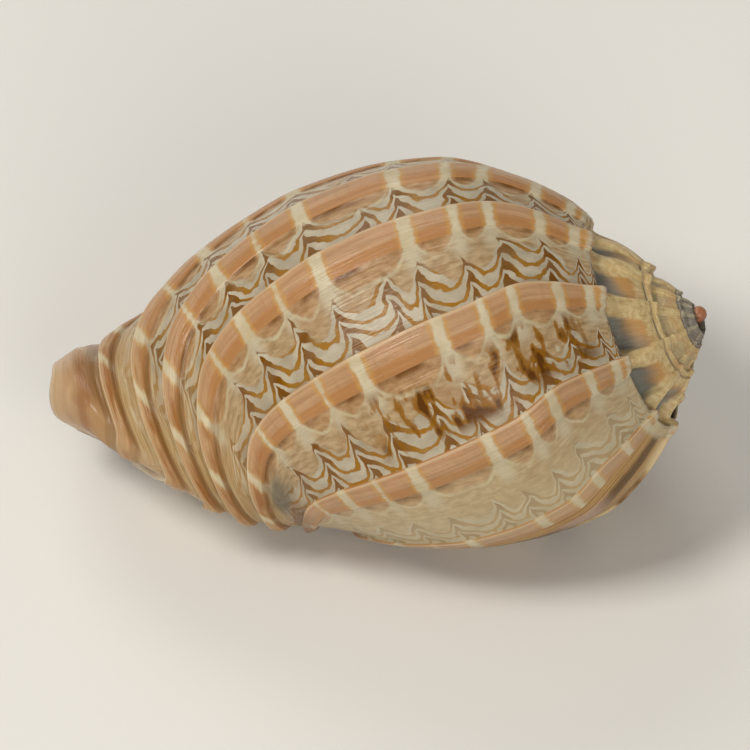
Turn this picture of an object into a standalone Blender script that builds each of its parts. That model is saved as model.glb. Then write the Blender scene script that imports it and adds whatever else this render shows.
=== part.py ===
"""Harp shell, one solid, lying on its aperture side on the plane z = 0.

The shell is a self-similar coil. Its outline in a plane through the coiling axis is
PROFILE, and every quarter turn it grows by the same ratio. A point of the outer
surface has a growth angle u, the age of the growth line it lies on, and a row s along
PROFILE. Growth lines sweep back towards the siphon, which is the lag of each row, and
ribs follow them. Lengths in the constants are millimetres at the lip, where u is 0.
Angles are degrees.
"""
import math

import bmesh
import bpy
import numpy as np
from mathutils import Matrix, Vector

MM = 0.001
WHORL_RATIO = 2.0
TURNS = 4

# Radius, distance from the apex along the axis, and lag, from the suture to the siphon.
PROFILE = [
    (9.4, 6.9, 0),
    (11.2, 8.2, 0),
    (13.2, 10.1, 0),
    (14.9, 12.3, 0),
    (16.2, 13.2, 0),
    (17.4, 12.5, 0),
    (18.8, 13.8, 0),
    (21.2, 16.2, 0),
    (25.5, 21.4, -0.5),
    (30.0, 30.4, -6.5),
    (31.2, 40.1, -9.5),
    (30.7, 48.7, -12),
    (28.8, 56.6, -14.5),
    (25.8, 64.4, -18),
    (22.2, 71.0, -25),
    (18.6, 78.6, -50),
    (16.8, 84.0, -84),
    (14.8, 88.5, -118),
    (12.8, 89.8, -121),
    (10.0, 88.2, -123),
]
SUTURE_ROW = 6
CREST_ROW = 5
NECK_ROW = 13
SIPHON_ROW = 17
LIP_FACES_ROW = 10.5
NORMAL_STEP = 0.01
RAMP_ROWS = (0, 1, 2, 3, 4, 5, 6)
BODY_ROWS = (7,) + tuple(row / 2 for row in range(16, 35)) + (18, 19)
UNDERSIDE_DEPTH = 10
TIP_AXIAL = -0.15
RELIEF_FROM = -1440
RELIEF_TO = -1260

# Leading edge of each rib of the last whorl, as degrees of growth before the lip.
RIB_LEADS = (-334, -296, -256, -215.1, -175.5, -138.6, -105, -79.4, -52.4, -18.5, 0)
RIB_WIDTH = 9.6
RIB_HEIGHT = 0.75
NECK_RIB_HEIGHT = 1.3
RAMP_RIB_HEIGHT = 0.45
FULL_RIB_ROW = 8
NECK_RIB_FROM_ROW = 12
NECK_RIB_FULL_ROW = 16
RIB_TRAILING_HEIGHT = 0.5
RIB_FRONT_SLOPE = 0.9
RIB_BACK_SLOPE = 1.3
LINES_BETWEEN_RIBS = 3
LINES_ON_LIP = 4
SPINE_REACH = 0.9
SPINE_HALF_ROWS = 1.5
SPINE_DIRECTION = (0.4, -0.92)

# Beside the lip the shoulder is lower and has no spines.
LATE_FROM = -112
LATE_FULL = -60
CREST_DROP = 0.5

# The lip flares forward beside the siphon.
FLARE_START_ROW = 13
FLARE_ANGLE = 34
FLARE_FADE = 102
FLARE_FROM = -11
FLARE_WIDENS_TO = -7
FLARE_WIDENING = 1.5
SIPHON_LEAN = 1.1
SIPHON_LEAN_FACING = 100
SIPHON_LEAN_FROM = -110

# Smooth glaze on the aperture side hides the oldest ribs of the last whorl.
GLAZE_FULL = -268
GLAZE_EDGE = -244
GLAZE_TOP_ROW = 6.5
GLAZE_FADE_ROWS = 2
GLAZE_THICKNESS = 0.8

# The hollow, as a loop in the plane through the axis.
WALL = 1.5
HOLLOW_START = -480
HOLLOW_END = 40
HOLLOW_STEP = 13
HOLLOW_OUTER_ROWS = (7.3, 8, 8.8, 9.6, 10.4, 11.2, 12, 12.8, 13.5, 14.2, 14.9, 15.6, 16.4)
HOLLOW_INNER = [
    (10.0, 85.0),
    (5.8, 80.5),
    (5.2, 72.0),
    (5.8, 62.0),
    (7.4, 52.5),
    (9.6, 44.6),
    (11.8, 38.6),
    (13.7, 34.2),
    (15.3, 29.6),
    (16.5, 24.6),
    (16.8, 20.6),
]

# Pillar along the axis: distance from the apex and the two radii of its section.
PILLAR = [
    (26.0, 7.0, 7.0),
    (34.0, 9.0, 7.8),
    (42.0, 9.0, 7.2),
    (50.0, 8.4, 6.4),
    (57.0, 7.2, 5.6),
    (63.0, 5.8, 4.8),
    (67.0, 4.2, 3.6),
    (69.0, 2.4, 2.0),
]
PILLAR_SIDES = 20
PILLAR_FACING = 62
PILLAR_LEAN_START = 40
PILLAR_LEAN = 4.0
PILLAR_LEAN_FACING = -105

# Rest: the side that faces down, and how far the spire is lifted from level.
REST_FACING = 55.6
REST_LIFT = 16.3
FOOT_CUT = 0.3
FLOOR_BLOCK = 200

SHELL_COLOUR = (0.62, 0.47, 0.33, 1)
SHELL_ROUGHNESS = 0.32

GROWTH = math.log(WHORL_RATIO) / (2 * math.pi)


def smooth_curve(values, at):
    """Cubic curve through values at 0, 1, 2 and so on, which never overshoots them."""
    values = np.asarray(values, float)
    at = np.asarray(at, float)
    steps = np.diff(values)
    slopes = np.zeros(len(values))
    slopes[0] = steps[0]
    slopes[-1] = steps[-1]
    before = steps[:-1]
    after = steps[1:]
    same_way = before * after > 0
    total = np.where(same_way, before + after, 1)
    slopes[1:-1] = np.where(same_way, 2 * before * after / total, 0)
    left = np.clip(np.floor(at).astype(int), 0, len(values) - 2)
    f = at - left
    keep = (1 + 2 * f) * (1 - f) ** 2 * values[left] + f * f * (3 - 2 * f) * values[left + 1]
    turn = f * (1 - f) ** 2 * slopes[left] - f * f * (1 - f) * slopes[left + 1]
    return keep + turn


def profile_at(rows):
    """Radius, axial distance, lag and the outward normal at the given rows."""
    table = np.array(PROFILE, float)
    radius, axial, lag = (smooth_curve(table[:, k], rows) for k in range(3))
    ahead, behind = rows + NORMAL_STEP, rows - NORMAL_STEP
    d_radius = smooth_curve(table[:, 0], ahead) - smooth_curve(table[:, 0], behind)
    d_axial = smooth_curve(table[:, 1], ahead) - smooth_curve(table[:, 1], behind)
    length = np.hypot(d_radius, d_axial)
    return radius, axial, lag, d_axial / length, -d_radius / length


def scale_at(angle):
    """Size of the growing shell at an angle before the lip."""
    return np.exp(GROWTH * np.radians(angle))


def coil_point(angle, radius, axial):
    """Point at a lip-sized radius and axial distance, shrunk to the size at this angle."""
    size = scale_at(angle) * MM
    turn = np.radians(angle)
    return np.stack([size * radius * np.cos(turn), size * radius * np.sin(turn), size * axial], axis=-1)


def smooth_step(low, high, value):
    """0 below low, 1 above high and an even curve between."""
    f = np.clip((value - low) / (high - low), 0, 1)
    return f * f * (3 - 2 * f)


def growth_lines():
    """Growth angles of one turn: four lines on each rib and even ones between ribs."""
    angles = []
    for lead, previous in zip(RIB_LEADS, (RIB_LEADS[-1] - 360,) + RIB_LEADS[:-1]):
        foot = lead - RIB_WIDTH - RIB_BACK_SLOPE
        start = previous + (RIB_FRONT_SLOPE if lead != RIB_LEADS[0] else 0)
        gap = (foot - start) / (LINES_BETWEEN_RIBS + 1)
        angles += [start + gap * (k + 1) for k in range(LINES_BETWEEN_RIBS)]
        angles += [foot, lead - RIB_WIDTH]
        if lead == RIB_LEADS[-1]:
            angles += [lead - RIB_WIDTH * k / LINES_ON_LIP for k in range(LINES_ON_LIP - 1, 0, -1)]
            angles.append(lead)
        else:
            angles += [lead, lead + RIB_FRONT_SLOPE]
    return np.array(angles)


def rib_height(angle, is_last_turn):
    """Height of the ribs at a growth angle, 1 along each leading edge."""
    turn_angle = angle if angle > -360 or is_last_turn else math.fmod(angle, 360)
    height = 0.0
    for lead in RIB_LEADS:
        if lead == 0 and not is_last_turn:
            continue
        edges = [lead - RIB_WIDTH - RIB_BACK_SLOPE, lead - RIB_WIDTH, lead, lead + RIB_FRONT_SLOPE]
        height = max(height, float(np.interp(turn_angle, edges, [0, RIB_TRAILING_HEIGHT, 1, 0])))
    return height


def outer_line(angle, rows, is_last_turn):
    """Points of one growth line of the outer surface, with its rib, spine and glaze."""
    rows = np.asarray(rows, float)
    radius, axial, lag, out_r, out_z = profile_at(rows)
    forward = np.interp(angle, [-360, FLARE_FADE - 360, FLARE_FROM, 0], [1, 0, 0, 1])
    lag = lag + forward * FLARE_ANGLE * smooth_step(FLARE_START_ROW, SIPHON_ROW, rows)
    widening = FLARE_WIDENING * smooth_step(FLARE_FROM, FLARE_WIDENS_TO, angle)
    radius = radius + widening * smooth_step(FLARE_START_ROW, SIPHON_ROW - 1, rows)
    rib = rib_height(angle, is_last_turn)
    height = RAMP_RIB_HEIGHT + (RIB_HEIGHT - RAMP_RIB_HEIGHT) * smooth_step(CREST_ROW, FULL_RIB_ROW, rows)
    neck = smooth_step(NECK_RIB_FROM_ROW, NECK_RIB_FULL_ROW, rows)
    height = height + (NECK_RIB_HEIGHT - RIB_HEIGHT) * neck
    height = height * (1 - smooth_step(SIPHON_ROW, len(PROFILE) - 1, rows))
    glaze = 0.0
    if is_last_turn:
        covered = 1 - smooth_step(GLAZE_FULL, GLAZE_EDGE, angle)
        glaze = covered * smooth_step(GLAZE_TOP_ROW, GLAZE_TOP_ROW + GLAZE_FADE_ROWS, rows)
    lift = height * rib * (1 - glaze) + GLAZE_THICKNESS * glaze
    late = smooth_step(LATE_FROM, LATE_FULL, angle)
    near_crest = np.clip(1 - abs(rows - CREST_ROW) / SPINE_HALF_ROWS, 0, 1)
    spine = SPINE_REACH * (1 - late) * rib ** 2 * near_crest - CREST_DROP * late * near_crest
    relief = smooth_step(RELIEF_FROM, RELIEF_TO, angle)
    plain = np.clip(rows / SUTURE_ROW, 0, 1)
    start, end = PROFILE[0], PROFILE[SUTURE_ROW]
    radius = radius + lift * out_r + spine * SPINE_DIRECTION[0]
    axial = axial + lift * out_z + spine * SPINE_DIRECTION[1]
    if relief < 1:
        radius = relief * radius + (1 - relief) * (start[0] + (end[0] - start[0]) * plain)
        axial = relief * axial + (1 - relief) * (start[1] + (end[1] - start[1]) * plain)
    points = coil_point(angle + lag, radius, axial)
    lean = SIPHON_LEAN * MM * smooth_step(SIPHON_LEAN_FROM, 0, angle)
    lean = lean * smooth_step(NECK_ROW, SIPHON_ROW, rows)
    facing = math.radians(SIPHON_LEAN_FACING)
    return points + lean[:, None] * np.array([math.cos(facing), math.sin(facing), 0])


def stitch(mesh, first, second):
    """Triangles between two lines of (place, vertex) pairs, matched by their places."""
    i = 0
    k = 0
    while i < len(first) - 1 or k < len(second) - 1:
        next_first = first[i + 1][0] if i < len(first) - 1 else math.inf
        next_second = second[k + 1][0] if k < len(second) - 1 else math.inf
        if next_first <= next_second:
            corners = (first[i][1], first[i + 1][1], second[k][1])
            i += 1
        else:
            corners = (first[i][1], second[k + 1][1], second[k][1])
            k += 1
        if len(set(corners)) == 3:
            mesh.faces.new(corners)


def outer_body():
    """Closed body of the whole shell with its aperture still filled."""
    mesh = bmesh.new()
    one_turn = growth_lines()
    per_turn = len(one_turn)
    angles = np.concatenate([one_turn - 360 * turn for turn in range(TURNS - 1, -1, -1)])
    full_rows = RAMP_ROWS + BODY_ROWS
    first_full = len(angles) - per_turn - 1
    lines = []
    for index, angle in enumerate(angles):
        is_last_turn = index >= first_full
        rows = full_rows if index >= first_full else RAMP_ROWS
        points = outer_line(angle, rows, is_last_turn)
        line = [mesh.verts.new(point) for point in points[1:]]
        if index < per_turn:
            line.insert(0, mesh.verts.new(points[0]))
        else:
            line.insert(0, lines[index - per_turn][SUTURE_ROW])
        lines.append(line)
    for older, newer in zip(lines[:-1], lines[1:]):
        for k in range(min(len(older), len(newer)) - 1):
            mesh.faces.new((older[k], older[k + 1], newer[k + 1], newer[k]))

    axis_points = []
    for line in lines[first_full:]:
        shrink = 1 - UNDERSIDE_DEPTH / PROFILE[-1][1]
        axis_points.append(mesh.verts.new((0, 0, line[-1].co.z * shrink)))
    edge = [line[-1] for line in lines[first_full:]]
    for k in range(len(edge) - 1):
        mesh.faces.new((edge[k], axis_points[k], axis_points[k + 1], edge[k + 1]))

    inner_line = lines[first_full][SUTURE_ROW:]
    last_row = len(PROFILE) - 1
    lip_rows = (0, SUTURE_ROW, NECK_ROW, last_row)
    facing_rows = (SUTURE_ROW, LIP_FACES_ROW, NECK_ROW, last_row)
    places = np.interp(full_rows, lip_rows, facing_rows)
    stitch(mesh, list(zip(places, lines[-1])), list(zip(full_rows[SUTURE_ROW:], inner_line)))
    for here, after in zip(axis_points[:-1], axis_points[1:]):
        mesh.faces.new((here, after, lines[-1][-1]))
    mesh.faces.new((axis_points[0], inner_line[-1], lines[-1][-1]))

    tip = mesh.verts.new((0, 0, TIP_AXIAL * MM))
    rim = [line[0] for line in lines[:per_turn]] + [lines[0][SUTURE_ROW]]
    rim += [lines[0][k] for k in range(SUTURE_ROW - 1, 0, -1)]
    for here, after in zip(rim, rim[1:] + rim[:1]):
        mesh.faces.new((here, after, tip))
    return mesh


def tube(sections):
    """Closed body through a list of equal rings of points, with flat ends."""
    mesh = bmesh.new()
    rings = [[mesh.verts.new(point) for point in ring] for ring in sections]
    for ring, following in zip(rings[:-1], rings[1:]):
        for k in range(len(ring)):
            after = (k + 1) % len(ring)
            mesh.faces.new((ring[k], ring[after], following[after], following[k]))
    mesh.faces.new(rings[0])
    mesh.faces.new(rings[-1])
    return mesh


def hollow_body():
    """Horn that the animal lived in, from inside the second whorl out past the lip."""
    radius, axial, _, out_r, out_z = profile_at(np.array(HOLLOW_OUTER_ROWS, float))
    outer = np.stack([radius - WALL * out_r, axial - WALL * out_z], axis=1)
    loop = np.concatenate([outer, np.array(HOLLOW_INNER, float)])
    sections = []
    for angle in range(HOLLOW_START, HOLLOW_END + 1, HOLLOW_STEP):
        sections.append(coil_point(np.full(len(loop), float(angle)), loop[:, 0], loop[:, 1]))
    return tube(sections)


def pillar_body():
    """Columella, an oval pillar that narrows towards the siphon."""
    facing = math.radians(PILLAR_FACING)
    lean_facing = math.radians(PILLAR_LEAN_FACING)
    sections = []
    for axial, wide, deep in PILLAR:
        around = np.linspace(0, 2 * math.pi, PILLAR_SIDES, endpoint=False)
        across = wide * np.sin(around)
        out = deep * np.cos(around)
        lean = PILLAR_LEAN * max(0, (axial - PILLAR_LEAN_START) / (PILLAR[-1][0] - PILLAR_LEAN_START)) ** 2
        x = out * math.cos(facing) - across * math.sin(facing) + lean * math.cos(lean_facing)
        y = out * math.sin(facing) + across * math.cos(facing) + lean * math.sin(lean_facing)
        sections.append(np.stack([x, y, np.full(len(around), axial)], axis=1) * MM)
    return tube(sections)


def make_object(name, mesh):
    """Object of a bmesh with its faces turned out."""
    bmesh.ops.recalc_face_normals(mesh, faces=mesh.faces)
    if mesh.calc_volume(signed=True) < 0:
        bmesh.ops.reverse_faces(mesh, faces=mesh.faces)
    data = bpy.data.meshes.new(name)
    mesh.to_mesh(data)
    mesh.free()
    made = bpy.data.objects.new(name, data)
    bpy.context.scene.collection.objects.link(made)
    return made


def make_guide(name, mesh):
    """Body that only cuts or adds to another one."""
    guide = make_object(name, mesh)
    guide.hide_render = True
    guide.display_type = "WIRE"
    return guide


def combine(target, other, operation):
    """Boolean modifier of the target with another object."""
    modifier = target.modifiers.new(other.name, "BOOLEAN")
    modifier.operation = operation
    modifier.solver = "EXACT"
    modifier.object = other


def rest_rotation():
    """Rotation that lays the coil on its aperture side with the spire towards +X."""
    facing = math.radians(REST_FACING)
    lift = math.radians(REST_LIFT)
    level = Vector((math.cos(facing), math.sin(facing), 0))
    up = -(level * math.cos(lift) + Vector((0, 0, 1)) * math.sin(lift))
    spire = Vector((0, 0, -1))
    forward = (spire - up * spire.dot(up)).normalized()
    return Matrix((forward, up.cross(forward), up))


def lay_down(mesh):
    """Turn the body to its rest, centred over the origin, its lowest point under the floor."""
    bmesh.ops.rotate(mesh, matrix=rest_rotation(), verts=mesh.verts)
    points = np.array([vertex.co for vertex in mesh.verts])
    low, high = points.min(axis=0), points.max(axis=0)
    move = Vector((-(low[0] + high[0]) / 2, -(low[1] + high[1]) / 2, -low[2] - FOOT_CUT * MM))
    bmesh.ops.translate(mesh, vec=move, verts=mesh.verts)
    return move


def floor_body():
    """Block under the floor, which flattens the three places that the shell rests on."""
    mesh = bmesh.new()
    side = FLOOR_BLOCK * MM
    bmesh.ops.create_cube(mesh, size=side, matrix=Matrix.Translation((0, 0, -side / 2)))
    return mesh


def shell_material():
    """Glossy tan shell."""
    material = bpy.data.materials.new("shell_surface")
    material.use_nodes = True
    shader = material.node_tree.nodes["Principled BSDF"]
    shader.inputs["Base Color"].default_value = SHELL_COLOUR
    shader.inputs["Roughness"].default_value = SHELL_ROUGHNESS
    shader.inputs["Metallic"].default_value = 0
    return material


def main():
    """Build the shell."""
    for item in list(bpy.data.objects):
        bpy.data.objects.remove(item, do_unlink=True)
    body = outer_body()
    move = lay_down(body)
    place = Matrix.Translation(move) @ rest_rotation().to_4x4()
    shell = make_object("shell", body)
    hollow = make_guide("hollow", hollow_body())
    pillar = make_guide("pillar", pillar_body())
    hollow.matrix_world = place
    pillar.matrix_world = place
    combine(shell, hollow, "DIFFERENCE")
    combine(shell, pillar, "UNION")
    combine(shell, make_guide("floor", floor_body()), "DIFFERENCE")
    shell.data.materials.append(shell_material())


main()
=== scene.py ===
"""Harp shell: the fine shell mesh, its procedural finish, the floor, light and camera.

The shell is a self-similar coil. A point of the outer surface has a growth angle u, the
age in degrees of the growth line it lies on, and a row s along PROFILE. Lengths in the
profile are millimetres at the lip, where u is 0. Growth lines sweep back towards the
siphon by the lag of each row, and the ribs follow them.
"""
import math

import bmesh
import bpy
import numpy as np
from mathutils import Matrix, Vector


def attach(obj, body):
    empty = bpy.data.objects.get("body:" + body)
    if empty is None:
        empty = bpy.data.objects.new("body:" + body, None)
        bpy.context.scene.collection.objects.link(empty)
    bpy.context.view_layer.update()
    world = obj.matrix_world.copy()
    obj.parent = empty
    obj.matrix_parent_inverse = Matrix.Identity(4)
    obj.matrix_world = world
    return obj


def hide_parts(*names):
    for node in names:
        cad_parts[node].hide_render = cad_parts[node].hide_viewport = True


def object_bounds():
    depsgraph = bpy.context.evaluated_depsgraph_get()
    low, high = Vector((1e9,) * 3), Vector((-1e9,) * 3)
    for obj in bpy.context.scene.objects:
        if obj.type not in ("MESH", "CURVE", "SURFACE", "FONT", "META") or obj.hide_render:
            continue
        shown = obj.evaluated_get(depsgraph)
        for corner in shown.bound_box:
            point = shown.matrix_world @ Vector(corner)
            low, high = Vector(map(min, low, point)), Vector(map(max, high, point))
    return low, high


MM = 0.001
WHORL_RATIO = 2.0
GROWTH = math.log(WHORL_RATIO) / (2 * math.pi)

# Radius, distance from the apex along the axis, and lag, from the suture to the siphon.
PROFILE = np.array([
    (9.4, 6.9, 0), (11.2, 8.2, 0), (13.2, 10.1, 0), (14.9, 12.3, 0), (16.2, 13.2, 0),
    (17.4, 12.5, 0), (18.8, 13.8, 0), (21.2, 16.2, 0), (25.5, 21.4, -0.5), (30.0, 30.4, -6.5),
    (31.2, 40.1, -9.5), (30.7, 48.7, -12), (28.8, 56.6, -14.5), (25.8, 64.4, -18),
    (22.2, 71.0, -25), (18.6, 78.6, -50), (16.8, 84.0, -84), (14.8, 88.5, -118),
    (12.8, 89.8, -121), (10.0, 88.2, -123),
])
LAST_ROW = len(PROFILE) - 1

# Rows that other shapes are tied to: the crest of the shoulder, the line where the next
# whorl joins, the start of the neck, the siphon, and the row that the lip's corner faces.
CREST_ROW = 5
SUTURE_ROW = 6
NECK_ROW = 13
SIPHON_ROW = 17
LIP_FACES_ROW = 10.5
SAMPLES_PER_ROW = 100
NORMAL_STEP = 0.01

# Depth that the closed underside is drawn in by at the lip, the place of the coil's tip
# along the axis, and the growth angles between which the ramp grows from flat to full.
UNDERSIDE_DEPTH = 10
TIP_AXIAL = -0.15
RELIEF_FROM = -1440
RELIEF_TO = -1260

# Mesh lines: rows across the ramp, the spacing of the other rows in millimetres at the
# lip, and the degrees from one growth line to the next between two ribs.
RAMP_STEPS = 24
BODY_STEP_MM = 0.46
GAP_STEP = 1.4
OLDER_TURNS = 3

# Leading edge of each rib, as degrees of growth before the lip, and its section as
# degrees behind the leading edge and share of the full height.
RIB_LEADS = (-334, -296, -256, -215.1, -175.5, -138.6, -105, -79.4, -52.4, -18.5, 0)
RIB_WIDTH = 9.6
RIB_SECTION = [
    (-0.9, 0), (-0.55, 0.22), (-0.2, 0.78), (0, 0.96), (0.35, 1.02), (1.2, 0.97), (3, 0.92),
    (5.6, 0.86), (6.2, 0.7), (8.2, 0.62), (9.2, 0.55), (9.7, 0.4), (10.2, 0.16), (10.9, 0),
]

# Where the colour of a rib ends: degrees behind its leading edge, and ahead of it.
RIB_BACK_SIDE = 10
RIB_BACK_EDGE = (9.7, 10.1)
RIB_FRONT_EDGE = (0.25, 0.5)

# Height of the ribs above the shell, on its side, on the neck and on the ramp.
RIB_HEIGHT = 0.75
NECK_RIB_HEIGHT = 1.3
RAMP_RIB_HEIGHT = 0.45
FULL_RIB_ROW = 8
NECK_RIB_FROM_ROW = 12
NECK_RIB_FULL_ROW = 16

# Each rib ends in a spine on the crest and a small knob on the shoulder. Near the lip the
# spines fade and the crest is lower.
SPINE_REACH = 0.9
SPINE_HALF_ROWS = 1.5
SPINE_DIRECTION = (0.4, -0.92)
SHOULDER_KNOB_ROW = 6.4
SHOULDER_KNOB_ROWS = 1.6
SHOULDER_KNOB_HEIGHT = 0.25
LATE_FROM = -112
LATE_FULL = -60
CREST_DROP = 0.5

# Towards the lip the lower side flares forward and widens, and the neck leans out.
FLARE_START_ROW = 13
FLARE_ANGLE = 34
FLARE_FADE = 102
FLARE_FROM = -11
FLARE_WIDENS_TO = -7
FLARE_WIDENING = 1.5
SIPHON_LEAN = 1.1
SIPHON_LEAN_FACING = 100
SIPHON_LEAN_FROM = -110
TIP_FLARE = 1.35
TIP_FLARE_FROM = -45
TIP_FLARE_ROW = 16.4
TIP_FLARE_ROWS = 2

# A smooth glaze covers the ribs beside the mouth.
GLAZE_FULL = -268
GLAZE_EDGE = -244
GLAZE_TOP_ROW = 6.5
GLAZE_FADE_ROWS = 2
GLAZE_THICKNESS = 0.8

# On the ramp behind the shoulder a thick ridge comes from each rib, with pits between,
# which are nearly filled on the older turns and shallow near the lip.
RIDGE_CENTRE = 5.5
RIDGE_HALF_WIDTH = 11
RIDGE_HEIGHT = 0.2
RIDGE_ROUNDING = 1.5
RIDGE_BEND = 3.0
RIDGE_WAVE = 1.3
RIDGE_WAVE_SHIFT = 0.7
PIT_DEPTH = 2.7
PIT_ROWS = (0.9, 3.0, 4.4, 4.9)
OLD_PIT_SHARE = 0.1
OLD_PIT_ANGLES = (-400, -320)
LIP_PIT_SHARE = 0.25
LIP_PIT_ANGLES = (-165, -130)

# Rounded first whorl at the apex, in millimetres.
KNOB_RADIUS = 0.95
KNOB_SEGMENTS = 40
KNOB_RINGS = 24
KNOB_SINK = 1.0
APEX_LEAN = np.array([0.13, -0.76, 0.2])
KNOB_FROM = -1440
KNOB_TO = -1040

# The hollow and the pillar along the axis.
WALL = 1.5
HOLLOW_START = -480
HOLLOW_END = 40
HOLLOW_STEP = 4
HOLLOW_OUTER_ROWS = (7.3, 8, 8.8, 9.6, 10.4, 11.2, 12, 12.8, 13.5, 14.2, 14.9, 15.6, 16.4)
HOLLOW_INNER = [
    (10.0, 85.0), (5.8, 80.5), (5.2, 72.0), (5.8, 62.0), (7.4, 52.5), (9.6, 44.6),
    (11.8, 38.6), (13.7, 34.2), (15.3, 29.6), (16.5, 24.6), (16.8, 20.6),
]
PILLAR = [
    (26.0, 7.0, 7.0), (34.0, 9.0, 7.8), (42.0, 9.0, 7.2), (50.0, 8.4, 6.4),
    (57.0, 7.2, 5.6), (63.0, 5.8, 4.8), (67.0, 4.2, 3.6), (69.0, 2.4, 2.0),
]
PILLAR_SIDES = 48
PILLAR_FACING = 62
PILLAR_LEAN_START = 40
PILLAR_LEAN = 4.0
PILLAR_LEAN_FACING = -105

# Rest, as the solid lies: the side that faces down and the lift of the spire.
REST_FACING = 55.6
REST_LIFT = 16.3

# Latitudes, as rows, where the cream streaks cross the ribs and the zigzags have peaks,
# half the width of each streak in millimetres, and the peaks to a row past the last one.
PEAK_ROWS = (5.3, 6.25, 7.45, 8.37, 8.85, 9.58, 10.15, 11.15, 12.05, 12.9, 13.8, 14.7, 15.6)
GAP_HALF_WIDTHS = (0.4, 0.8, 0.8, 0.8, 0.7, 1.0, 0, 1.0, 0.35, 0.9, 0.4, 0.6, 0.3)
NECK_PEAKS_PER_ROW = 1.2
FAR_MM = 99.0

# Zigzag lines between the ribs, in degrees of growth: their spacing, the reach of their
# waves, where the first one runs, and how many there are. Then the thickness of a line as
# a share of the spacing, on its loops and at its peaks.
ZIGZAG_STEP = 5.4
ZIGZAG_REACH = 8.8
ZIGZAG_START = 5.6
ZIGZAG_COUNT = 2.5
ZIGZAG_SHARPNESS = 0.74
ZIGZAG_STEEPEST = 2.2
LINE_SHARE = 0.175
PEAK_SHARE = 0.38
PEAK_NARROWNESS = 2.6

# Tan tongues behind the ribs: their depth in degrees and half width in millimetres.
TONGUE_DEPTH = 5.6
TONGUE_HALF_WIDTH = 2.6

# Where single marks and the parts of the finish lie, as growth angles, rows and peaks of
# the zigzags.
STREAK_ANGLES = (-171, -152)
STREAK_PEAKS = (1.6, 7.4)
PALE_ANGLES = (-206, -176)
GOLD_BAND_ANGLES = (-226, -224)
DARK_STREAK_ANGLES = (-243, -234)
ROUGH_PATCH_ANGLES = (-243, -232)
ROUGH_PATCH_ROWS = (8.6, 9.6)
GLAZE_COLOUR_ANGLES = (-256, -244)
LAST_TURN_ANGLES = (-361, -360)
LAST_TURN_EDGE = (-360.5, -360)
SIDE_ROWS = (6.1, 6.6)
WORN_ANGLES = (-720, -600)
APEX_ANGLES = (-1300, -1120)
DULL_ANGLES = (-700, -420)
RAMP_ROWS = (4.6, 4.95)
NECK_ROWS = (13.6, 15.8)
TIP_ROWS = (16.4, 17.2)
TIP_ANGLES = (-12, -8)
GREY_STAIN_ANGLES = (-166, -152)
GREY_STAIN_ROWS = (14.2, 15.1)
BROWN_STAIN_ANGLES = (-182, -166)
BROWN_STAIN_ROWS = (14.4, 15.6)

# Gloss, and the depth of the fine relief in metres.
OUTER_ROUGHNESS = 0.23
OUTER_SPECULAR = 0.25
OUTER_BUMP = 0.00006
APEX_ROUGHNESS = 0.36
APEX_BUMP = 0.00004
CALLUS_ROUGHNESS = 0.18
INSIDE_ROUGHNESS = 0.22

# Camera: the directions from the shell towards it and to its right, the scale of the
# picture, and the place of the apex in it.
CAMERA_DIRECTION = Vector((-0.0335, -0.6791, 0.7332))
CAMERA_RIGHT = Vector((0.9964, -0.0794, -0.028))
MM_PER_PIXEL = 0.115
IMAGE_SIZE = 750
APEX_PIXEL = (710, 318)
CAMERA_DISTANCE = 1.2
CLIP_START = 0.01
CLIP_END = 20

# Lights as name, place, size and watts, and the strength of the white surround.
WARM_WHITE = (1.0, 0.965, 0.9)
LIGHTS = (
    ("key", (-0.5, -0.12, 0.78), 0.3, 5.1),
    ("fill", (0.2, -0.8, 0.42), 0.5, 3.6),
    ("back", (-0.2, 0.75, 0.6), 0.5, 2.6),
)
SURROUND_STRENGTH = 0.22

# Floor: the radius of its first ring, of its flat part and of the bend around it.
FLOOR_CENTRE = 0.05
FLOOR_FLAT = 1.6
FLOOR_BEND = 1.6
FLOOR_BEND_START = 0.08
FLOOR_SIDES = 96
FLOOR_ROUGHNESS = 0.9

# Place of the callus among the materials, and of the colour sockets of a Mix node.
CALLUS_PLACE = 1
MIX_FIRST = 6
MIX_SECOND = 7
MIX_RESULT = 2


def smooth_curve(values, at):
    """Cubic curve through values at 0, 1, 2 and so on, which never overshoots them."""
    values = np.asarray(values, float)
    at = np.asarray(at, float)
    steps = np.diff(values)
    slopes = np.zeros(len(values))
    slopes[0] = steps[0]
    slopes[-1] = steps[-1]
    before = steps[:-1]
    after = steps[1:]
    same_way = before * after > 0
    total = np.where(same_way, before + after, 1)
    slopes[1:-1] = np.where(same_way, 2 * before * after / total, 0)
    left = np.clip(np.floor(at).astype(int), 0, len(values) - 2)
    f = at - left
    keep = (1 + 2 * f) * (1 - f) ** 2 * values[left] + f * f * (3 - 2 * f) * values[left + 1]
    turn = f * (1 - f) ** 2 * slopes[left] - f * f * (1 - f) * slopes[left + 1]
    return keep + turn


def profile_at(rows):
    """Radius, axial distance, lag and the outward normal at the given rows."""
    rows = np.asarray(rows, float)
    radius, axial, lag = (smooth_curve(PROFILE[:, k], rows) for k in range(3))
    ahead, behind = rows + NORMAL_STEP, rows - NORMAL_STEP
    d_radius = smooth_curve(PROFILE[:, 0], ahead) - smooth_curve(PROFILE[:, 0], behind)
    d_axial = smooth_curve(PROFILE[:, 1], ahead) - smooth_curve(PROFILE[:, 1], behind)
    length = np.hypot(d_radius, d_axial)
    return radius, axial, lag, d_axial / length, -d_radius / length


def arc_length_at(rows):
    """Length along the profile from its start to the given rows, in lip millimetres."""
    fine = np.linspace(0, LAST_ROW, LAST_ROW * SAMPLES_PER_ROW + 1)
    radius, axial, *_ = profile_at(fine)
    length = np.concatenate([[0], np.cumsum(np.hypot(np.diff(radius), np.diff(axial)))])
    return np.interp(rows, fine, length)


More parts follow.
